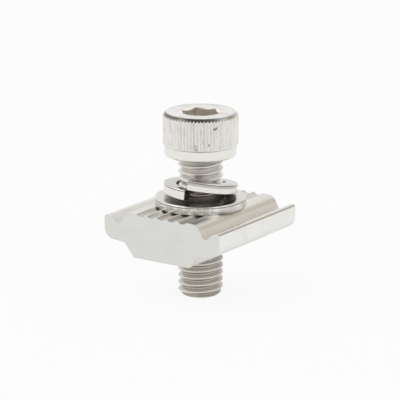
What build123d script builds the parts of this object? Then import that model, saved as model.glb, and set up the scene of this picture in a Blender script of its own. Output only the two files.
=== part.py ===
from build123d import *
import os
from math import pi

os.makedirs("parts", exist_ok=True)

# Cap screw, M8 by 25, standing on its tip at the origin
thread_radius = 3.94
screw_length = 25.0
tip_radius = 3.2
tip_taper = 0.75
underhead_fillet = 0.35

# Head
head_radius = 6.58
head_height = 7.75
band_radius = 6.22
band_height = 1.85
band_rounding = 0.45
crown_radius = 6.05
crown_drop = 0.65
knurl_count = 68
knurl_depth = 0.27
knurl_share = 0.8

# Hexagon socket
socket_flats = 6.0
socket_depth = 4.35
socket_turn = 17.0
mouth_radius = 3.62
drill_point_radius = 2.7
drill_web_radius = 0.15
drill_point_depth = 1.3

# Rail nut, an extrusion along Y
nut_width = 24.0
nut_length = 24.0
keel_base = 8.3
keel_height = 2.4
keel_flank_run = 2.0
keel_rounding = 0.5
flange_overhang = 4.25
flange_height = 3.15
flange_rise = 0.45
flange_rounding = 1.9
lip_height = 1.35
lip_foot_thickness = 2.7
lip_crest_thickness = 0.95
lip_rounding = 0.6
channel_width = 0.65
channel_rounding = 0.15
hump_height = 2.35
hump_flank_run = 1.23
hump_rounding = 2.0
serration_count = 5
serration_pitch = 2.15
serration_radius = 1.2
serration_depth = 0.4
bore_chamfer = 0.4

# Flat washer
washer_radius = 8.0
washer_thickness = 1.45
washer_edge = 0.18

# Spring washer, one left-hand turn, tipped on the screw
coil_width = 2.15
coil_thickness = 1.75
coil_rise = 1.84
coil_split = 3.0
coil_start = -80.5
coil_tilt = 7.6
coil_tilt_heading = -102.0
coil_lift = 0.03

# Fits between the screw and what it passes through
nut_clearance = 0.05
washer_clearance = 0.26
coil_clearance = 0.34

head_base = screw_length
head_top = head_base + head_height
flange_base = keel_base + keel_height
channel_floor = flange_base + flange_height
lip_top = channel_floor + lip_height
hump_top = channel_floor + hump_height
nut_side = nut_width / 2
keel_side = nut_side - flange_overhang
channel_side = nut_side - lip_foot_thickness
hump_foot = channel_side - channel_width
washer_top = hump_top + washer_thickness

# One turned blank, then the knurl, the socket and the edge under the head
with BuildPart() as cap_screw:
    with BuildSketch(Plane.XZ):
        with BuildLine():
            Polyline(
                (0, 0),
                (tip_radius, 0),
                (thread_radius, tip_taper),
                (thread_radius, head_base),
                (band_radius, head_base),
                (band_radius, head_base + band_height),
                (head_radius, head_base + band_height + head_radius - band_radius),
                (head_radius, head_top - crown_drop),
                (crown_radius, head_top),
                (0, head_top),
                close=True,
            )
        make_face()
    revolve(axis=Axis.Z)
    rings = cap_screw.edges().filter_by(GeomType.CIRCLE)
    underside = rings.filter_by_position(Axis.Z, head_base, head_base).sort_by(SortBy.RADIUS)
    fillet(underside[-1], radius=band_rounding)
    fillet(underside[0], radius=underhead_fillet)
    knurl_half_width = knurl_share * pi * head_radius / knurl_count
    with BuildSketch(Plane.XY.offset(head_base + band_height)):
        with PolarLocations(head_radius, knurl_count):
            Polygon(
                (-knurl_depth, 0),
                (knurl_depth, 2 * knurl_half_width),
                (knurl_depth, -2 * knurl_half_width),
                align=None,
            )
    extrude(amount=head_height, mode=Mode.SUBTRACT)
    with BuildSketch(Plane.XY.offset(head_top)):
        RegularPolygon(radius=socket_flats / 2, side_count=6, major_radius=False, rotation=socket_turn)
    extrude(amount=-socket_depth, mode=Mode.SUBTRACT)
    with BuildSketch(Plane.XZ):
        with BuildLine():
            Polyline(
                (0, head_top),
                (mouth_radius, head_top),
                (0, head_top - mouth_radius),
                close=True,
            )
        make_face()
    revolve(axis=Axis.Z, mode=Mode.SUBTRACT)
    with Locations((0, 0, head_top - socket_depth - drill_point_depth)):
        Cone(
            bottom_radius=drill_web_radius,
            top_radius=drill_point_radius,
            height=drill_point_depth,
            align=(Align.CENTER, Align.CENTER, Align.MIN),
            mode=Mode.SUBTRACT,
        )
cap_screw.part.label = "cap_screw"
export_step(cap_screw.part, "parts/cap_screw.step")

# Extruded section with upturned lips, a serrated hump and a keel
with BuildPart() as rail_nut:
    with BuildSketch(Plane.XZ) as section:
        with BuildLine():
            Polyline(
                (0, hump_top),
                (hump_foot - hump_flank_run, hump_top),
                (hump_foot, channel_floor),
                (channel_side, channel_floor),
                (nut_side - lip_crest_thickness, lip_top),
                (nut_side, lip_top),
                (nut_side, flange_base + flange_rise),
                (keel_side, flange_base),
                (keel_side - keel_flank_run, keel_base),
                (0, keel_base),
            )
            mirror(about=Plane.YZ)
        make_face()
        sides = section.vertices().group_by(Axis.X)
        outer_corners = (sides[0] + sides[-1]).sort_by(Axis.Y)
        fillet(outer_corners[:2], radius=flange_rounding)
        channel_corners = section.vertices().group_by(Axis.Y)[-3]
        fillet(channel_corners, radius=channel_rounding)
        lip_corners = section.vertices().group_by(Axis.Y)[-2]
        fillet(lip_corners, radius=lip_rounding)
    extrude(amount=nut_length / 2, both=True)
    keel_edges = rail_nut.edges().filter_by(Axis.Y).group_by(Axis.Z)[0]
    fillet(keel_edges, radius=keel_rounding)
    hump_edges = rail_nut.edges().filter_by(Axis.Y).group_by(Axis.Z)[-1]
    fillet(hump_edges, radius=hump_rounding)
    with BuildSketch(Plane.XZ):
        with Locations((0, hump_top + serration_radius - serration_depth)):
            with GridLocations(serration_pitch, 0, serration_count, 1):
                Circle(serration_radius)
    extrude(amount=nut_length, both=True, mode=Mode.SUBTRACT)
    with Locations((0, 0, keel_base)):
        Cylinder(
            radius=thread_radius + nut_clearance,
            height=hump_top - keel_base,
            align=(Align.CENTER, Align.CENTER, Align.MIN),
            mode=Mode.SUBTRACT,
        )
    bore_mouth = rail_nut.faces().sort_by(Axis.Z)[0].edges().filter_by(GeomType.CIRCLE)
    chamfer(bore_mouth, length=bore_chamfer)
rail_nut.part.label = "rail_nut"
export_step(rail_nut.part, "parts/rail_nut.step")

# Plain washer, punched, its upper rims broken
with BuildPart() as flat_washer:
    with BuildSketch(Plane.XY.offset(hump_top)):
        Circle(washer_radius)
        Circle(thread_radius + washer_clearance, mode=Mode.SUBTRACT)
    extrude(amount=washer_thickness)
    washer_rims = flat_washer.faces().sort_by(Axis.Z)[-1].edges()
    chamfer(washer_rims, length=washer_edge)
flat_washer.part.label = "flat_washer"
export_step(flat_washer.part, "parts/flat_washer.step")

# Square-section coil, split and sprung, resting with its back edge on the flat washer
coil_inner = thread_radius + coil_clearance
coil_radius = coil_inner + coil_width / 2
high_side = Rot(0, 0, coil_tilt_heading)
centred = Rot(0, 0, coil_start) * Pos(0, 0, -coil_rise / 2)
tipping = high_side * Rot(0, -coil_tilt, 0) * high_side.inverse() * centred
with BuildPart() as spring_washer:
    with BuildLine() as coil_path:
        Helix(
            pitch=coil_rise * 360 / (360 - coil_split),
            height=coil_rise,
            radius=coil_radius,
            lefthand=True,
        )
    coil_line = coil_path.line
    with BuildSketch(Plane(origin=coil_line @ 0, x_dir=(1, 0, 0), z_dir=coil_line % 0)):
        Rectangle(coil_width, coil_thickness)
    sweep(path=coil_line, is_frenet=True)
tipped_coil = tipping * spring_washer.part
tipped_coil = Pos(0, 0, washer_top + coil_lift - tipped_coil.bounding_box().min.Z) * tipped_coil
tipped_coil.label = "spring_washer"
export_step(tipped_coil, "parts/spring_washer.step")
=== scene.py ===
import math

import bmesh
import bpy
from mathutils import Matrix, Vector


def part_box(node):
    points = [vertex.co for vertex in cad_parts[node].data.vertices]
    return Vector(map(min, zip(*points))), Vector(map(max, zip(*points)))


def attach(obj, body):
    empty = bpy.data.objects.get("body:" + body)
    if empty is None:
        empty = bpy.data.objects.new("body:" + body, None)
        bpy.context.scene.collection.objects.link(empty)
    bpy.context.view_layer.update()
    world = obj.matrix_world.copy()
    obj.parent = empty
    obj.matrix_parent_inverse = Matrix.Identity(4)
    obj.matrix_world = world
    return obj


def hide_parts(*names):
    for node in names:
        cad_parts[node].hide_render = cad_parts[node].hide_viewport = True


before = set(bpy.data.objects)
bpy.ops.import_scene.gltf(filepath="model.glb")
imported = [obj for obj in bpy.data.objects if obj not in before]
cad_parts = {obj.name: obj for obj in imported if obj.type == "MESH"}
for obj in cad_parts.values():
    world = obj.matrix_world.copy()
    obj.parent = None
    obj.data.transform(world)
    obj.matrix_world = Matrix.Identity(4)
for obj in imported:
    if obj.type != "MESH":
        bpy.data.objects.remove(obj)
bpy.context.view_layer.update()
MM = 0.001

# Places that the frame gives
_, SCREW_HIGH = (Vector(corner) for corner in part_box("cap_screw"))
WASHER_LOW, WASHER_HIGH = (Vector(corner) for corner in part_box("flat_washer"))
COIL_LOW, _ = (Vector(corner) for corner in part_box("spring_washer"))
_, NUT_HIGH = (Vector(corner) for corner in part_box("rail_nut"))

# Head of the screw
SCREW_LENGTH = 25.0 * MM
HEAD_TOP = SCREW_HIGH.z
HEAD_RADIUS = SCREW_HIGH.x
NECK_RADIUS = 3.62 * MM
NECK_FILLET = 0.35 * MM
BAND_RADIUS = 6.28 * MM
BAND_HEIGHT = 1.85 * MM
BAND_ROUNDING = 0.45 * MM
BAND_ROUNDING_STEPS = 6
BAND_TOP = SCREW_LENGTH + BAND_HEIGHT
CROWN_RADIUS = 6.05 * MM
CROWN_DROP = 0.65 * MM
CROWN_SOFT_OUT = 0.08 * MM
CROWN_SOFT_DOWN = 0.09 * MM
CROWN_SOFT_IN = 0.1 * MM

# Hexagon socket
SOCKET_FLATS = 6.0 * MM
SOCKET_DEPTH = 4.35 * MM
SOCKET_TURN = math.radians(17.0)
SOCKET_ROWS = (0.3, 0.65, 1.0)
MOUTH_RADIUS = 3.5 * MM
MOUTH_SLOPE = 0.65
MOUTH_SOFT_OUT = 0.06 * MM
MOUTH_SOFT_DOWN = 0.02 * MM
DRILL_POINT_RADIUS = 2.7 * MM
DRILL_POINT_DEPTH = 1.3 * MM
DRILL_WEB_RADIUS = 0.02 * MM

# Knurl
KNURL_COUNT = 68
KNURL_SAMPLES = 12
KNURL_DEPTH = 0.27 * MM
KNURL_GROOVE_SHARE = 0.4
KNURL_VARIATION = 0.25
KNURL_SEED = 7.0
KNURL_TOLERANCE = 0.01 * MM

# Thread. Its profile is given in shares of the pitch, from the start of a crest
CREST_RADIUS = 3.93 * MM
THREAD_DEPTH = 0.58 * MM
PITCH = 1.25 * MM
CREST_END = 0.18
ROOT_START = 0.50
ROOT_END = 0.68
THREAD_STEPS = 96
THREAD_PROFILE_POINTS = 9
THREAD_MERGE = 2e-6
RUNOUT_START = 0.7 * PITCH
RUNOUT_END = 0.15 * PITCH
TIP_RADIUS = 3.2 * MM

# Flat washer
WASHER_HOLE_RADIUS = 4.2 * MM
WASHER_ROLLED_EDGE = 0.22 * MM
WASHER_SHEARED_EDGE = 0.06 * MM
WASHER_COLUMNS = 192

# Spring washer
COIL_WIDTH = 2.15 * MM
COIL_THICKNESS = 1.75 * MM
COIL_RISE = 1.84 * MM
COIL_RADIUS = 5.355 * MM
COIL_SPLIT = math.radians(3.0)
COIL_START = math.radians(-80.5)
COIL_TILT = math.radians(7.6)
COIL_TILT_HEADING = math.radians(-102.0)
COIL_EDGE = 0.16 * MM
COIL_STEPS = 160

# Finish of every mesh
CORNER_STEPS = 4
SHARP_ANGLE = math.radians(28.0)
MERGE_DISTANCE = 1e-7
BUMP_DISTANCE = 0.05 * MM

# Where marks, painted shade and painted highlights begin and end on the screw, the washer and the nut
THREAD_CRESTS = (CREST_RADIUS - 0.1 * MM, CREST_RADIUS - 0.02 * MM)
THREAD_ROOTS = (CREST_RADIUS - THREAD_DEPTH, CREST_RADIUS - 0.7 * THREAD_DEPTH)
# Over this span the thread's flanks go from the darker tone below to the lighter one above
FLANK_TONE_CHANGE = (18.5 * MM, 20.5 * MM)
# Painted shade on the thread in the gap at the washers
SHADED_THREAD_SPAN = (WASHER_LOW.z - 0.6 * MM, WASHER_LOW.z, 18.6 * MM, 19.8 * MM)
TIP_SHADE = (0.35 * MM, 0.75 * MM)
KNURL_FOOT = (BAND_TOP - 0.1 * MM, BAND_TOP + 0.5 * MM)
CROWN_RIM = (5.8 * MM, 6.0 * MM)
# Over this span the painted shade on the crown's edge grows lighter towards the right
CROWN_SHADE_FADE = (-3.0 * MM, 4.5 * MM)
SOCKET_MOUTH = (MOUTH_RADIUS - 0.02 * MM, MOUTH_RADIUS + 0.02 * MM)
WASHER_LINE = tuple(WASHER_HIGH.z - drop * MM for drop in (0.42, 0.32, 0.26, 0.2))
# Painted shade on the washer's top under the coil: its ring, where it begins on the left and where it
# thins on the right
WASHER_GAP_RING = (5.5 * MM, 6.4 * MM)
WASHER_GAP_LEFT = (-3.2 * MM, -2.4 * MM)
WASHER_GAP_RIGHT = (2.0 * MM, 5.0 * MM)
WASHER_UNDER_COIL = (5.8 * MM, 6.8 * MM)
HUMP_SIDE = (8.4 * MM, 8.8 * MM)
SERRATED_SIDE = (5.2 * MM, 5.6 * MM)
SERRATION_VALLEYS = tuple(NUT_HIGH.z - drop * MM for drop in (0.7, 0.4, 0.28, 0.02))
LIP_CREST = (NUT_HIGH.x - 0.7 * MM, NUT_HIGH.x - 0.55 * MM)

# Specks of dirt on the head: degrees round the screw, millimetres of height and size, darkness
HEAD_SPECKS = (
    (-34.2, 30.9, 0.32, 0.9),
    (-30.4, 31.1, 0.26, 1.0),
    (-43.1, 28.2, 0.20, 0.8),
    (-63.4, 28.0, 0.36, 0.35),
    (-62.4, 27.4, 0.36, 0.45),
)

# The turn about the screw of the set's front side, where the spring washer is split
FRONT_TURN = math.radians(34.2)

# Camera, in front of the set
VIEW_RISE = math.radians(14.9)
VIEW_DISTANCE = 0.456
VIEW_TARGET = Vector((0, 0, 17.0 * MM))
VIEW_SHIFT = (-0.0015, -0.00225)
SENSOR_WIDTH = 36.0
LENS = 235.2

# Studio. The glow is how much of the floor's look is plain white where it is seen
FLOOR_REACH = 6.0
PAPER_GLOW = 0.88
AIR_STRENGTH = 0.72

# Screens: the direction that each lies in, and the cosines at its edge and where it is full
HIGH_SCREEN = ((0.25, -0.37, 0.895), 0.62, 0.88)
WARM_SCREEN = ((0.39, 0.81, 0.43), 0.93, 0.985)

# Softboxes: place, side and power
KEY_SOFTBOX = ((-0.35, -0.45, 0.55), 0.6, 1.1)
SIDE_SOFTBOX = ((0.6, -0.1, 0.35), 0.5, 0.5)
LAMP_TARGET = Vector((0, 0, 15.0 * MM))


class Signal:
    """A socket that takes part in arithmetic. Each operator adds its own Math node."""

    def __init__(self, graph, socket):
        self.graph = graph
        self.socket = socket

    def maths(self, operation, *others):
        return self.graph.maths(operation, self, *others)

    def __add__(self, other):
        return self.maths("ADD", other)

    def __sub__(self, other):
        return self.maths("SUBTRACT", other)

    def __rsub__(self, other):
        return self.graph.maths("SUBTRACT", other, self)

    def __mul__(self, other):
        return self.maths("MULTIPLY", other)

    def __truediv__(self, other):
        return self.maths("DIVIDE", other)

    __radd__ = __add__


class Graph:
    """A node tree, of a material, the world or Geometry Nodes."""

    def __init__(self, tree):
        self.tree = tree

    def node(self, kind, settings=None, inputs=None):
        """A node of a kind, its settings first and then its sockets, by name or number."""
        node = self.tree.nodes.new(kind)
        for name, value in (settings or {}).items():
            setattr(node, name, value)
        for key, value in (inputs or {}).items():
            if isinstance(value, Signal):
                self.tree.links.new(value.socket, node.inputs[key])
            else:
                node.inputs[key].default_value = value
        return node

    def add(self, kind, settings=None, inputs=None, out=0):
        """The signal from one output of a new node."""
        return Signal(self, self.node(kind, settings, inputs).outputs[out])

    def maths(self, operation, *values):
        return self.add("ShaderNodeMath", {"operation": operation}, dict(enumerate(values)))

    def clamped(self, value, low=0.0, high=1.0):
        return self.add("ShaderNodeClamp", None, {0: value, 1: low, 2: high})

    def step(self, value, start, end):
        """0 below start, 1 above end, smooth between them."""
        settings = {"interpolation_type": "SMOOTHSTEP"}
        inputs = {"Value": value, "From Min": start, "From Max": end}
        return self.add("ShaderNodeMapRange", settings, inputs)

    def fade(self, value, start, end):
        """1 below start, 0 above end, smooth between them."""
        return 1.0 - self.step(value, start, end)

    def between(self, value, start, full, fading, end):
        """1 from full to fading, going down to 0 at start and at end."""
        return self.step(value, start, full) * self.fade(value, fading, end)

    def split(self, vector):
        node = self.node("ShaderNodeSeparateXYZ", None, {0: vector})
        return [Signal(self, socket) for socket in node.outputs]

    def joined(self, x, y, z):
        return self.add("ShaderNodeCombineXYZ", None, {0: x, 1: y, 2: z})

    def place(self):
        """Where a point lies on its object."""
        return self.add("ShaderNodeTexCoord", out="Object")

    def normal(self):
        """Which way a face points."""
        return self.add("ShaderNodeTexCoord", out="Normal")

    def from_axis(self, x, y):
        """The distance from the screw's axis."""
        return (x * x + y * y).maths("SQRT")

    def rightward(self, x, y):
        """How far a point lies to the right of the screw, on the set as it faces its front side."""
        return x * math.cos(FRONT_TURN) + y * math.sin(FRONT_TURN)

    def blend(self, factor, low, high):
        """A colour between two others."""
        settings = {"data_type": "RGBA", "clamp_factor": True}
        return self.add("ShaderNodeMix", settings, {0: factor, 6: low, 7: high}, out=2)

    def painted(self, colour, tone, mask, strength=1.0):
        """A colour with a tone laid over it where the mask is 1."""
        return self.blend(mask * strength, colour, tone)

    def scaled(self, vector, scale):
        return self.add("ShaderNodeMapping", None, {"Vector": vector, "Scale": scale})

    def noise(self, vector, scale, detail=3.0):
        inputs = {"Vector": vector, "Scale": scale, "Detail": detail, "Roughness": 0.55}
        return self.add("ShaderNodeTexNoise", None, inputs)

    def spot(self, place, centre, radius):
        """1 within a ball, fading to 0 at its edge."""
        settings = {"operation": "DISTANCE"}
        distance = self.add("ShaderNodeVectorMath", settings, {0: place, 1: centre}, out=1)
        return self.fade(distance, radius * 0.5, radius)

    def facing(self, direction, towards, start, end):
        """0 to 1 as a direction closes on another one, by the cosine between them."""
        settings = {"operation": "DOT_PRODUCT"}
        inputs = {0: direction, 1: Vector(towards).normalized()}
        return self.step(self.add("ShaderNodeVectorMath", settings, inputs, out=1), start, end)

    def ray(self, kind):
        return self.add("ShaderNodeLightPath", out=f"Is {kind} Ray")

    def seen(self):
        """1 for the rays that show the background: the camera's, and those in metal and glass."""
        mirrored = self.ray("Glossy").maths("MAXIMUM", self.ray("Transmission"))
        return self.ray("Camera").maths("MAXIMUM", mirrored)


# ---------------------------------------------------------------- meshes


def mesh_object(name, mesh):
    mesh.name = name
    piece = bpy.data.objects.new(name, mesh)
    bpy.context.scene.collection.objects.link(piece)
    return piece


def grid_mesh(name, rings):
    """A mesh from closed rings of points, each joined to the next one."""
    mesh = bpy.data.meshes.new(name)
    count = len(rings[0])
    points = [point for ring in rings for point in ring]
    faces = []
    for row in range(len(rings) - 1):
        low, high = row * count, (row + 1) * count
        for column in range(count):
            after = (column + 1) % count
            faces.append((low + column, low + after, high + after, high + column))
    mesh.from_pydata(points, [], faces)
    return mesh


def finish_mesh(mesh, merge=MERGE_DISTANCE):
    """Merges what coincides, closes the ends, turns the faces outwards and sets the shading."""
    shape = bmesh.new()
    shape.from_mesh(mesh)
    bmesh.ops.remove_doubles(shape, verts=shape.verts, dist=merge)
    bmesh.ops.dissolve_degenerate(shape, edges=shape.edges, dist=merge)
    rims = [edge for edge in shape.edges if edge.is_boundary]
    bmesh.ops.holes_fill(shape, edges=rims)
    bmesh.ops.recalc_face_normals(shape, faces=shape.faces)
    shape.to_mesh(mesh)
    shape.free()
    mesh.shade_smooth()
    mesh.set_sharp_from_angle(angle=SHARP_ANGLE)
    return mesh


def geometry_graph(name, sizes):
    """The graph of an empty Geometry Nodes tree, and its inputs: a mesh, a material and the sizes."""
    tree = bpy.data.node_groups.new(name, "GeometryNodeTree")
    tree.interface.new_socket("Geometry", in_out="INPUT", socket_type="NodeSocketGeometry")
    tree.interface.new_socket("Material", in_out="INPUT", socket_type="NodeSocketMaterial")
    for label, value in sizes.items():
        kind = "NodeSocketInt" if isinstance(value, int) else "NodeSocketFloat"
        tree.interface.new_socket(label, in_out="INPUT", socket_type=kind)
    tree.interface.new_socket("Geometry", in_out="OUTPUT", socket_type="NodeSocketGeometry")
    graph = Graph(tree)
    group = graph.node("NodeGroupInput")
    return graph, {socket.name: Signal(graph, socket) for socket in group.outputs if socket.name}


def end_graph(graph, geometry, material):
    """Realizes the instances, sets the material and gives the tree its output."""
    real = graph.add("GeometryNodeRealizeInstances", None, {0: geometry})
    dressed = graph.add("GeometryNodeSetMaterial", None, {"Geometry": real, "Material": material})
    graph.node("NodeGroupOutput", None, {0: dressed})


def grown(name, tree, sizes, material, base=None):
    """The plain mesh that a tree makes, from a base mesh or from nothing."""
    seed = mesh_object(name, base or bpy.data.meshes.new(name))
    modifier = seed.modifiers.new(name, "NODES")
    modifier.node_group = tree
    sockets = {s.name: s.identifier for s in tree.interface.items_tree if s.in_out == "INPUT"}
    modifier[sockets["Material"]] = material
    for label, value in sizes.items():
        modifier[sockets[label]] = value
    bpy.context.view_layer.update()
    evaluated = seed.evaluated_get(bpy.context.evaluated_depsgraph_get())
    mesh = bpy.data.meshes.new_from_object(evaluated)
    seed.modifiers.remove(modifier)
    bpy.data.objects.remove(seed)
    return mesh


def thread_mesh(material):
    """The screw's thread: a strip one pitch tall, wound along the helix, cut by the tip's cone
    and run out into the neck under the head."""
    turns = math.ceil(SCREW_LENGTH / PITCH) + 2
    sizes = {
        "Turns": float(turns),
        "Steps": turns * THREAD_STEPS + 1,
        "Pitch": PITCH,
        "Crest Radius": CREST_RADIUS,
        "Thread Depth": THREAD_DEPTH,
        "Tip Radius": TIP_RADIUS,
        "Neck Radius": NECK_RADIUS,
        "Length": SCREW_LENGTH,
    }
    graph, size = geometry_graph("helical_thread", sizes)
    strip_sizes = {
        "Size X": 1.0,
        "Size Y": 1.0,
        "Vertices X": size["Steps"],
        "Vertices Y": THREAD_PROFILE_POINTS,
    }
    strip = graph.add("GeometryNodeMeshGrid", None, strip_sizes)
    x, y, _ = graph.split(graph.add("GeometryNodeInputPosition"))
    along = (x + 0.5) * size["Turns"]
    across = y + 0.5
    falling = (across - CREST_END) / (ROOT_START - CREST_END)
    rising = (1.0 - across) / (1.0 - ROOT_END)
    depth = graph.clamped(falling.maths("MINIMUM", rising)) * size["Thread Depth"]
    height = graph.clamped((along + across - 1.0) * size["Pitch"], 0.0, size["Length"])
    cone = size["Tip Radius"] + height
    radius = (size["Crest Radius"] - depth).maths("MINIMUM", cone)
    runout = graph.step(height, size["Length"] - RUNOUT_START, size["Length"] - RUNOUT_END)
    radius = radius + (size["Neck Radius"] - radius) * runout
    angle = along * math.tau
    place = graph.joined(radius * angle.maths("COSINE"), radius * angle.maths("SINE"), height)
    wound = graph.add("GeometryNodeSetPosition", None, {"Geometry": strip, "Position": place})
    end_graph(graph, wound, size["Material"])
    return finish_mesh(grown("thread", graph.tree, sizes, material), THREAD_MERGE)


def socket_reach(angle):
    """How far the hexagon's wall is from the axis in a direction."""
    sixth = math.tau / 6
    turned = (angle - SOCKET_TURN) % sixth - sixth / 2
    return SOCKET_FLATS / 2 / math.cos(turned)


def head_column(angle):
    """The head's radius and height from its underside, up its side, over its crown and down
    into the socket."""
    wall = socket_reach(angle)
    column = [(NECK_RADIUS, 0.0), (NECK_RADIUS + NECK_FILLET, 0.0)]
    for step in range(BAND_ROUNDING_STEPS + 1):
        bend = math.tau / 4 * step / BAND_ROUNDING_STEPS
        column.append((
            BAND_RADIUS - BAND_ROUNDING + BAND_ROUNDING * math.sin(bend),
            BAND_ROUNDING - BAND_ROUNDING * math.cos(bend),
        ))
    height = HEAD_TOP - SCREW_LENGTH
    mouth_height = height - MOUTH_SOFT_DOWN
    column += [
        (BAND_RADIUS, BAND_HEIGHT),
        (HEAD_RADIUS, BAND_HEIGHT + HEAD_RADIUS - BAND_RADIUS),
        (HEAD_RADIUS, height - CROWN_DROP),
        (CROWN_RADIUS + CROWN_SOFT_OUT, height - CROWN_SOFT_DOWN),
        (CROWN_RADIUS - CROWN_SOFT_IN, height),
        (MOUTH_RADIUS + MOUTH_SOFT_OUT, height),
        (MOUTH_RADIUS, mouth_height),
        (wall, mouth_height - (MOUTH_RADIUS - wall) * MOUTH_SLOPE),
    ]
    column += [(wall, height - share * SOCKET_DEPTH) for share in SOCKET_ROWS]
    floor_height = height - SOCKET_DEPTH
    column += [
        (DRILL_POINT_RADIUS, floor_height),
        (DRILL_POINT_RADIUS / 2, floor_height - DRILL_POINT_DEPTH / 2),
        (DRILL_WEB_RADIUS, floor_height - DRILL_POINT_DEPTH),
    ]
    return column


def turned_head():
    """The head as turned and broached, before its knurl."""
    columns = KNURL_COUNT * KNURL_SAMPLES
    angles = [SOCKET_TURN + math.tau * step / columns for step in range(columns)]
    profiles = [head_column(angle) for angle in angles]
    rings = []
    for row in zip(*profiles):
        rings.append([
            (radius * math.cos(angle), radius * math.sin(angle), SCREW_LENGTH + height)
            for angle, (radius, height) in zip(angles, row)
        ])
    return grid_mesh("turned_head", rings)


def head_mesh(material):
    """The turned head with its knurl rolled in, each groove a little deeper or shallower."""
    sizes = {
        "Count": float(KNURL_COUNT),
        "Depth": KNURL_DEPTH,
        "Head Radius": HEAD_RADIUS,
        "Band Radius": BAND_RADIUS,
        "Band Top": BAND_TOP,
        "Crown Radius": CROWN_RADIUS,
        "Crown Slope": CROWN_DROP / (HEAD_RADIUS - CROWN_RADIUS),
        "Head Top": HEAD_TOP,
        "Seed": KNURL_SEED,
    }
    graph, size = geometry_graph("rolled_knurl", sizes)
    x, y, z = graph.split(graph.add("GeometryNodeInputPosition"))
    radius = graph.from_axis(x, y)
    teeth = (y.maths("ARCTAN2", x) / math.tau + 1.0) * size["Count"]
    off_centre = (teeth.maths("FRACT") - 0.5).maths("ABSOLUTE")
    groove = graph.clamped(1.0 - off_centre / KNURL_GROOVE_SHARE)
    tooth_number = teeth.maths("FLOOR").maths("MODULO", size["Count"])
    settings = {"noise_dimensions": "1D"}
    chance = graph.add("ShaderNodeTexWhiteNoise", settings, {"W": tooth_number + size["Seed"]})
    depth = groove * size["Depth"] * (chance * KNURL_VARIATION + (1.0 - KNURL_VARIATION))
    cut_radius = size["Head Radius"] - depth
    middle = (size["Band Top"] + size["Head Top"]) * 0.5
    on_crown = z.maths("GREATER_THAN", middle)
    crown_height = size["Head Top"] - size["Crown Slope"] * (cut_radius - size["Crown Radius"])
    foot_height = size["Band Top"] + cut_radius - size["Band Radius"]
    cut_height = foot_height + (crown_height - foot_height) * on_crown
    scale = cut_radius / radius
    on_side = radius.maths("GREATER_THAN", size["Head Radius"] - KNURL_TOLERANCE)
    cut_place = graph.joined(x * scale, y * scale, cut_height)
    inputs = {"Geometry": size["Geometry"], "Selection": on_side, "Position": cut_place}
    end_graph(graph, graph.add("GeometryNodeSetPosition", None, inputs), size["Material"])
    return finish_mesh(grown("head", graph.tree, sizes, material, turned_head()))


def rounded_box_section(width, height, edge):
    """Points round a rectangle with rounded corners, in its own plane."""
    points = []
    for corner in range(4):
        side_x = 1 if corner in (0, 3) else -1
        side_y = 1 if corner in (0, 1) else -1
        for step in range(CORNER_STEPS + 1):
            bend = math.tau / 4 * (corner + step / CORNER_STEPS)
            points.append((
                side_x * (width / 2 - edge) + edge * math.cos(bend),
                side_y * (height / 2 - edge) + edge * math.sin(bend),
            ))
    return points


def coil_mesh(material):
    """One left-hand turn of square wire, sheared at the split and tipped on the screw. Each point
    knows its place across, up and along the wire."""
    sweep_angle = math.tau - COIL_SPLIT
    section = rounded_box_section(COIL_WIDTH, COIL_THICKNESS, COIL_EDGE)
    rings = []
    for step in range(COIL_STEPS + 1):
        share = step / COIL_STEPS
        angle = COIL_START - sweep_angle * share
        height = COIL_RISE * (share - 0.5)
        rings.append([
            (
                (COIL_RADIUS + across) * math.cos(angle),
                (COIL_RADIUS + across) * math.sin(angle),
                height + up,
            )
            for across, up in section
        ])
    mesh = grid_mesh("spring_coil", rings)
    wire = mesh.attributes.new("wire", "FLOAT_VECTOR", "POINT")
    for number, point in enumerate(wire.data):
        across, up = section[number % len(section)]
        along = number // len(section) / COIL_STEPS
        point.vector = (2 * across / COIL_WIDTH, 2 * up / COIL_THICKNESS, along)
    heading = Matrix.Rotation(COIL_TILT_HEADING, 4, "Z")
    mesh.transform(heading @ Matrix.Rotation(-COIL_TILT, 4, "Y") @ heading.inverted())
    lowest = min(vertex.co.z for vertex in mesh.vertices)
    mesh.transform(Matrix.Translation((0, 0, COIL_LOW.z - lowest)))
    mesh.materials.append(material)
    return finish_mesh(mesh)


def washer_mesh(material):
    """The flat washer, its upper rims rolled over and its lower rims sheared."""
    inner, outer = WASHER_HOLE_RADIUS, WASHER_HIGH.x
    low, high = WASHER_LOW.z, WASHER_HIGH.z
    corners = (
        (outer, low, WASHER_SHEARED_EDGE, -1, 0),
        (outer, high, WASHER_ROLLED_EDGE, 0, 1),
        (inner, high, WASHER_ROLLED_EDGE, 1, 2),
        (inner, low, WASHER_SHEARED_EDGE, 2, 3),
    )
    rows = []
    for radius, height, edge, first, last in corners:
        inward = -1 if radius == outer else 1
        upward = 1 if height == low else -1
        for step in range(CORNER_STEPS + 1):
            bend = math.tau / 4 * (first + (last - first) * step / CORNER_STEPS)
            rows.append((
                radius + inward * edge + edge * math.cos(bend),
                height + upward * edge + edge * math.sin(bend),
            ))
    turns = [math.tau * column / WASHER_COLUMNS for column in range(WASHER_COLUMNS)]
    rings = [
        [(radius * math.cos(turn), radius * math.sin(turn), height) for turn in turns]
        for radius, height in rows + rows[:1]
    ]
    mesh = grid_mesh("flat_washer_rolled", rings)
    mesh.materials.append(material)
    return finish_mesh(mesh)


# ---------------------------------------------------------------- materials


def rgb(red, green, blue):
    return (red, green, blue, 1.0)


# Studio
WHITE = rgb(1, 1, 1)
PAPER = rgb(0.93, 0.93, 0.93)
HIGH_SCREEN_TONE = rgb(0.27, 0.255, 0.235)
WARM_SCREEN_TONE = rgb(0.60, 0.54, 0.44)
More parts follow.
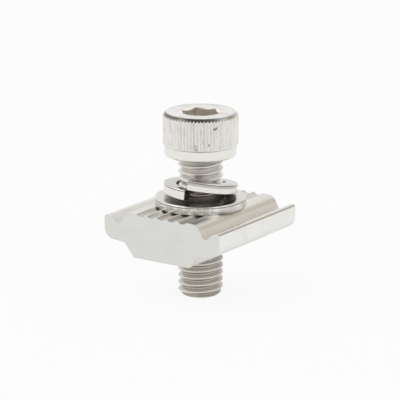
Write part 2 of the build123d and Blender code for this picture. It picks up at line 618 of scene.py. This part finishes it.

# Aluminium as drawn, sawn and handled, with painted shade and light on some of its faces
DRAWN_DARK, DRAWN_LIGHT = rgb(0.755, 0.745, 0.715), rgb(0.82, 0.81, 0.785)
SAWN_DARK, SAWN_LIGHT = rgb(0.715, 0.72, 0.695), rgb(0.735, 0.74, 0.72)
# Painted shade on the faces of the hump that look up
HUMP_SHADE = rgb(0.70, 0.665, 0.60)
# Painted light on the nut's outer walls
OUTER_WALL_LIGHT = rgb(0.87, 0.865, 0.84)
# Painted shade along the edges of the lips
LIP_EDGE_SHADE = rgb(0.30, 0.26, 0.20)
# Darker tone for the serration valleys
VALLEY_TONE = rgb(0.50, 0.47, 0.41)
ALUMINIUM_STAIN = rgb(0.63, 0.63, 0.59)
PIT = rgb(0.40, 0.39, 0.36)

# Steel of the head and the flat washer
PALE_STEEL = rgb(0.82, 0.81, 0.775)
WARM_STEEL = rgb(0.50, 0.475, 0.43)
DULL_STEEL = rgb(0.55, 0.53, 0.48)
# Painted shade on the flat washer's top
WASHER_TOP_SHADE = rgb(0.55, 0.54, 0.51)
HEAD_STAIN = rgb(0.62, 0.62, 0.58)
# Painted warm light inside the socket, brighter than the steel itself
SOCKET_PAINTED_LIGHT = rgb(0.92, 0.885, 0.82)

# Steel of the spring washer's wire
PALE_WIRE, DULL_WIRE = rgb(0.83, 0.815, 0.785), rgb(0.66, 0.64, 0.60)
# Painted shade on the wire's top
WIRE_TOP_SHADE = rgb(0.41, 0.39, 0.36)
# Painted dark reflection band on the wire's flank
WIRE_BAND_REFLECTION = rgb(0.40, 0.375, 0.34)
# Painted shade on the wire's underside and inner side
WIRE_UNDERSIDE_SHADE = rgb(0.30, 0.275, 0.235)

# Steel of the thread
LOW_FLANK, HIGH_FLANK = rgb(0.58, 0.55, 0.51), rgb(0.74, 0.72, 0.69)
# Painted highlight along the thread's crests
CREST_HIGHLIGHT = rgb(0.80, 0.785, 0.76)
# Painted shade in the thread's roots
ROOT_SHADE = rgb(0.47, 0.435, 0.385)
WORN_TONE = rgb(0.50, 0.46, 0.41)
# Painted shade at the screw's tip
TIP_PAINTED_SHADE = rgb(0.30, 0.27, 0.235)

# Painted shade in the gaps, on the crown's edge, in dark lines and at the coil's end, and specks of dirt
THREAD_GAP_SHADE = rgb(0.19, 0.165, 0.135)
WASHER_GAP_SHADE = rgb(0.16, 0.14, 0.115)
CROWN_EDGE_SHADE = rgb(0.10, 0.09, 0.07)
RIM_LINE_SHADE = rgb(0.09, 0.08, 0.065)
SPECK = rgb(0.08, 0.07, 0.055)
PAINTED_BLACK_SHADE = rgb(0.07, 0.06, 0.05)


def new_material(name):
    material = bpy.data.materials.new(name)
    material.use_nodes = True
    material.node_tree.nodes.clear()
    return material, Graph(material.node_tree)


def surface(graph, colour, roughness, height, strength):
    """The metal's shader, with the bump of a height."""
    bump_inputs = {"Strength": strength, "Distance": BUMP_DISTANCE, "Height": height}
    inputs = {
        "Base Color": colour,
        "Roughness": roughness,
        "Metallic": 1.0,
        "Normal": graph.add("ShaderNodeBump", None, bump_inputs),
    }
    shader = graph.add("ShaderNodeBsdfPrincipled", None, inputs)
    graph.node("ShaderNodeOutputMaterial", None, {"Surface": shader})


def mill_aluminium():
    """The extrusion: die lines along the rail, serrations darker in their valleys, smooth sawn ends,
    painted shade on the hump's top and along the lips' edges, and painted light on the outer walls.
    """
    material, graph = new_material("mill_aluminium")
    place = graph.place()
    x, _, z = graph.split(place)
    across, along, up = graph.split(graph.normal())
    side = x.maths("ABSOLUTE")
    sawn = graph.step(along.maths("ABSOLUTE"), 0.7, 0.9)
    hump = graph.fade(side, *HUMP_SIDE) * graph.step(up, 0.2, 0.5)
    outer_wall = graph.step(across.maths("ABSOLUTE"), 0.8, 0.98)
    lip_edge = graph.between(up, 0.4, 0.6, 0.82, 0.95) * graph.step(side, *LIP_CREST)
    serrated = graph.fade(side, *SERRATED_SIDE)
    valley = serrated * graph.between(z, *SERRATION_VALLEYS) * (1.0 - sawn)

    die_lines = graph.noise(graph.scaled(place, (1.0, 0.02, 1.0)), scale=3200.0, detail=4.0)
    saw_lines = graph.noise(graph.scaled(place, (0.05, 1.0, 1.0)), scale=2600.0)
    mottle = graph.noise(place, scale=260.0, detail=4.0)
    grain = graph.noise(place, scale=2400.0, detail=2.0)

    drawn = graph.blend(graph.step(die_lines, 0.3, 0.7), DRAWN_DARK, DRAWN_LIGHT)
    # Painted shade: the upward faces of the hump made warm and darker
    drawn = graph.painted(drawn, HUMP_SHADE, hump, strength=0.45)
    # Painted light: the outer walls are made brighter
    drawn = graph.painted(drawn, OUTER_WALL_LIGHT, outer_wall, strength=0.7)
    # Painted shade: a dark line along the lips' inner tops
    drawn = graph.painted(drawn, LIP_EDGE_SHADE, lip_edge, strength=0.5)
    cut = graph.blend(graph.step(saw_lines, 0.3, 0.7), SAWN_DARK, SAWN_LIGHT)
    colour = graph.blend(sawn, drawn, cut)
    # The serration valleys are made darker
    colour = graph.painted(colour, VALLEY_TONE, valley, strength=0.25)
    colour = graph.painted(colour, ALUMINIUM_STAIN, graph.step(mottle, 0.45, 0.75), strength=0.22)
    colour = graph.painted(colour, PIT, graph.step(grain, 0.74, 0.80), strength=0.4)
    roughness = 0.3 + sawn * 0.16 + serrated * (1.0 - sawn) * 0.12 + mottle * 0.1
    height = die_lines * (1.0 - sawn) + saw_lines * sawn * 0.35 + grain * 0.25
    surface(graph, colour, roughness, height, strength=0.2)
    return material


def flat_washer_steel():
    """The flat washer: a punched side with a painted dark reflection line under its rim, a top painted
    darker as shade, and painted shade under the sprung end of the coil."""
    material, graph = new_material("washer_steel")
    place = graph.place()
    x, y, z = graph.split(place)
    up = graph.split(graph.normal())[2]
    radius = graph.from_axis(x, y)
    right = graph.rightward(x, y)
    side = graph.fade(up.maths("ABSOLUTE"), 0.3, 0.6)
    top = graph.step(up, 0.8, 0.95)
    under_coil = graph.fade(radius, *WASHER_UNDER_COIL)
    sprung = graph.step(right, *WASHER_GAP_LEFT) * (1.0 - graph.step(right, *WASHER_GAP_RIGHT) * 0.7)

    lines = graph.noise(graph.scaled(place, (1.0, 1.0, 0.3)), scale=900.0)
    stains = graph.noise(place, scale=480.0)

    # Punched lines on the side, and painted shade on the faces that are not the side
    lines_and_face_shade = graph.step(lines, 0.4, 0.56) * side * 0.75 + (1.0 - side) * 0.35
    rim_line = graph.between(z, *WASHER_LINE) * side * graph.step(stains, 0.25, 0.42)
    gap_shade = top * graph.fade(radius, *WASHER_GAP_RING) * (sprung * 0.7 + 0.05)
    colour = graph.blend(lines_and_face_shade, PALE_STEEL, DULL_STEEL)
    # Painted shade: the top is darkened further
    colour = graph.painted(colour, WASHER_TOP_SHADE, top, strength=0.6)
    # Painted dark reflection: a line round the side under the rim, broken up by the stain noise
    colour = graph.painted(colour, RIM_LINE_SHADE, rim_line, strength=0.95)
    # Painted shade in the gap under the sprung end of the coil
    colour = graph.painted(colour, WASHER_GAP_SHADE, gap_shade)
    roughness = 0.12 + side * 0.08 + stains * 0.1 + under_coil * 0.25
    surface(graph, colour, roughness, lines, strength=0.1)
    return material


def spring_steel():
    """The spring washer's wire: bright flanks with a painted dark reflection band, a painted dark
    reflection line under its upper rim, a top painted darker as shade, painted shade on the underside
    and inner side, and a sheared end painted near black as shade."""
    material, graph = new_material("spring_steel")
    wire = graph.add("ShaderNodeAttribute", {"attribute_name": "wire"}, out="Vector")
    across, rise, along = graph.split(wire)
    up = graph.split(graph.normal())[2]
    flank = graph.fade(up.maths("ABSOLUTE"), 0.25, 0.45)
    sprung = graph.step(along, 0.55, 0.8)
    underside = graph.step(up * -1.0, 0.4, 0.8)
    shaded_faces = underside.maths("MAXIMUM", graph.step(across * -1.0, 0.85, 0.95))
    band = graph.between(rise, 0.05, 0.2, 0.6, 0.68) * flank * sprung
    rim_line = graph.between(rise, 0.58, 0.66, 0.74, 0.8) * flank
    shaded_end = graph.fade(along, 0.001, 0.005)

    lines = graph.noise(graph.joined(along * 24.0, rise * 1.5, across * 1.5), scale=4.0)
    stains = graph.noise(graph.place(), scale=430.0)

    colour = graph.blend(graph.step(lines, 0.4, 0.65) * 0.5, PALE_WIRE, DULL_WIRE)
    # Painted shade: the wire's top is darkened
    colour = graph.painted(colour, WIRE_TOP_SHADE, graph.step(up, 0.7, 0.9), strength=0.7)
    # Painted dark reflection: a grey band along the flank of the sprung end
    colour = graph.painted(colour, WIRE_BAND_REFLECTION, band, strength=0.75)
    # Painted dark reflection: a black line under the wire's upper rim
    colour = graph.painted(colour, PAINTED_BLACK_SHADE, rim_line, strength=0.95)
    # Painted shade on the underside and the inner side of the wire, past its first quarter
    colour = graph.painted(colour, WIRE_UNDERSIDE_SHADE, shaded_faces * graph.step(along, 0.25, 0.5), strength=0.6)
    # Painted shade: the sheared end at the start of the wire is made near black
    colour = graph.painted(colour, PAINTED_BLACK_SHADE, shaded_end, strength=0.9)
    surface(graph, colour, 0.15 + stains * 0.1 + shaded_faces * 0.3, lines, strength=0.06)
    return material


def head_steel():
    """The screw's head: bright, with short dark scratches on the knurl, painted shade along the crown's
    edge that is darkest on the left, painted warm light in the socket and a few specks of dirt."""
    material, graph = new_material("head_steel")
    place = graph.place()
    x, y, z = graph.split(place)
    up = graph.split(graph.normal())[2]
    radius = graph.from_axis(x, y)
    knurled = graph.step(z, *KNURL_FOOT) * graph.fade(up, 0.1, 0.3)
    crown = graph.between(up, 0.25, 0.45, 0.9, 0.97) * graph.step(radius, *CROWN_RIM)
    crown_darkness = 0.88 - graph.step(graph.rightward(x, y), *CROWN_SHADE_FADE) * 0.36
    inside = graph.fade(radius, *SOCKET_MOUTH)

    scratches = graph.noise(graph.scaled(place, (1.0, 1.0, 0.12)), scale=6500.0, detail=2.0)
    stains = graph.noise(place, scale=380.0, detail=4.0)

    scratched = graph.step(scratches, 0.5, 0.66) * (0.05 + knurled * 0.35)
    stained_top = graph.step(up, 0.9, 0.98) * graph.step(stains, 0.35, 0.7)
    colour = graph.blend(scratched, PALE_STEEL, WARM_STEEL)
    colour = graph.painted(colour, HEAD_STAIN, stained_top, strength=0.75)
    # Painted shade: the crown's edge is darkened as a dark reflection, most on the left
    colour = graph.painted(colour, CROWN_EDGE_SHADE, crown * crown_darkness)
    # Painted light: the socket's walls are made warm and bright
    colour = graph.painted(colour, SOCKET_PAINTED_LIGHT, inside)
    for turn, height, size, darkness in HEAD_SPECKS:
        angle = math.radians(turn)
        centre = (HEAD_RADIUS * math.cos(angle), HEAD_RADIUS * math.sin(angle), height * MM)
        colour = graph.painted(colour, SPECK, graph.spot(place, centre, size * MM), darkness)
    roughness = (0.2 + stains * 0.16 + scratches * 0.06) * (1.0 - crown * 0.5)
    roughness = roughness + knurled * (1.0 - inside) * 0.12
    surface(graph, colour, roughness, scratches, strength=0.08)
    return material


def thread_steel():
    """The thread: warm rolled flanks, darker below and lighter above, with a painted highlight along the
    crest, painted shade in the roots, in the gap at the washers and at the tip."""
    material, graph = new_material("thread_steel")
    place = graph.place()
    x, y, z = graph.split(place)
    radius = graph.from_axis(x, y)

    lines = graph.noise(graph.scaled(place, (1.0, 1.0, 4.0)), scale=1500.0)

    # Flanks darker below, lighter above
    colour = graph.blend(graph.step(z, *FLANK_TONE_CHANGE), LOW_FLANK, HIGH_FLANK)
    # Painted highlight: a thin bright line along the crests
    colour = graph.painted(colour, CREST_HIGHLIGHT, graph.step(radius, *THREAD_CRESTS), strength=0.65)
    # Painted shade: the roots are darkened
    colour = graph.painted(colour, ROOT_SHADE, graph.fade(radius, *THREAD_ROOTS), strength=0.55)
    colour = graph.painted(colour, WORN_TONE, graph.step(lines, 0.45, 0.75), strength=0.3)
    # Painted shade on the thread in the gap at the washers
    colour = graph.painted(colour, THREAD_GAP_SHADE, graph.between(z, *SHADED_THREAD_SPAN), strength=0.6)
    # Painted shade: the lowest part of the tip is darkened
    colour = graph.painted(colour, TIP_PAINTED_SHADE, graph.fade(z, *TIP_SHADE), strength=0.6)
    surface(graph, colour, 0.26 + lines * 0.16, lines, strength=0.1)
    return material


# ---------------------------------------------------------------- pieces


def dress_screw():
    thread = thread_mesh(thread_steel())
    head = head_mesh(head_steel())
    screw = mesh_object("socket_cap_screw", head)
    shank = mesh_object("threaded_shank", thread)
    for piece in (screw, shank):
        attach(piece, "bolt")
    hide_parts("cap_screw")
    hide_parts("cap_screw")


def dress_washers():
    washer = mesh_object("flat_washer_rolled", washer_mesh(flat_washer_steel()))
    coil = mesh_object("spring_coil", coil_mesh(spring_steel()))
    for piece, node in ((washer, "flat_washer"), (coil, "spring_washer")):
        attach(piece, "washers")
        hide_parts(node)


def dress_nut():
    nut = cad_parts["rail_nut"]
    nut.data.materials.clear()
    nut.data.materials.append(mill_aluminium())


# ---------------------------------------------------------------- studio


def make_floor():
    """White paper. It shows white wherever it is seen, but for a share that takes the shadow."""
    corners = ((-1, -1), (1, -1), (1, 1), (-1, 1))
    points = [(x * FLOOR_REACH, y * FLOOR_REACH, 0) for x, y in corners]
    mesh = bpy.data.meshes.new("studio_floor")
    mesh.from_pydata(points, [], [(0, 1, 2, 3)])
    floor = mesh_object("studio_floor", mesh)
    material, graph = new_material("studio_paper")
    paper_inputs = {"Base Color": PAPER, "Roughness": 0.9, "Specular IOR Level": 0.1}
    paper = graph.add("ShaderNodeBsdfPrincipled", None, paper_inputs)
    glow = graph.add("ShaderNodeEmission", None, {"Color": WHITE, "Strength": 1.0})
    mixed = graph.add("ShaderNodeMixShader", None, {0: graph.seen() * PAPER_GLOW, 1: paper, 2: glow})
    graph.node("ShaderNodeOutputMaterial", None, {"Surface": mixed})
    mesh.materials.append(material)


def make_world():
    """White air. Metal also sees two dark screens in it: one high in front of the set, which
    draws its edges, and a warm one behind it on the right."""
    world = bpy.data.worlds.new("studio_air")
    bpy.context.scene.world = world
    world.use_nodes = True
    world.node_tree.nodes.clear()
    graph = Graph(world.node_tree)
    seen = graph.seen()
    strength = AIR_STRENGTH + seen * (1.0 - AIR_STRENGTH)
    direction = graph.add("ShaderNodeTexCoord", out="Generated")
    screens = seen - graph.ray("Camera")
    high = graph.facing(direction, *HIGH_SCREEN)
    warm = graph.facing(direction, *WARM_SCREEN)
    colour = graph.painted(WHITE, HIGH_SCREEN_TONE, high, screens)
    colour = graph.painted(colour, WARM_SCREEN_TONE, warm, screens)
    air = graph.add("ShaderNodeBackground", None, {"Color": colour, "Strength": strength})
    graph.node("ShaderNodeOutputWorld", None, {"Surface": air})


def make_lamp(name, place, side, power):
    data = bpy.data.lights.new(name, "AREA")
    data.shape = "SQUARE"
    data.size = side
    data.energy = power
    lamp = bpy.data.objects.new(name, data)
    bpy.context.scene.collection.objects.link(lamp)
    lamp.location = place
    lamp.rotation_euler = (LAMP_TARGET - Vector(place)).to_track_quat("-Z", "Y").to_euler()


def make_camera():
    back = Vector((
        math.sin(FRONT_TURN) * math.cos(VIEW_RISE),
        -math.cos(FRONT_TURN) * math.cos(VIEW_RISE),
        math.sin(VIEW_RISE),
    ))
    data = bpy.data.cameras.new("studio_camera")
    data.sensor_width = SENSOR_WIDTH
    data.lens = LENS
    data.shift_x, data.shift_y = VIEW_SHIFT
    data.clip_start = 0.01
    camera = bpy.data.objects.new("studio_camera", data)
    bpy.context.scene.collection.objects.link(camera)
    camera.location = VIEW_TARGET + back * VIEW_DISTANCE
    camera.rotation_euler = (-back).to_track_quat("-Z", "Y").to_euler()
    bpy.context.scene.camera = camera


def make_studio():
    make_camera()
    make_floor()
    make_world()
    make_lamp("key_softbox", *KEY_SOFTBOX)
    make_lamp("side_softbox", *SIDE_SOFTBOX)
    bpy.context.scene.view_settings.view_transform = "Standard"


dress_screw()
dress_washers()
dress_nut()
make_studio()
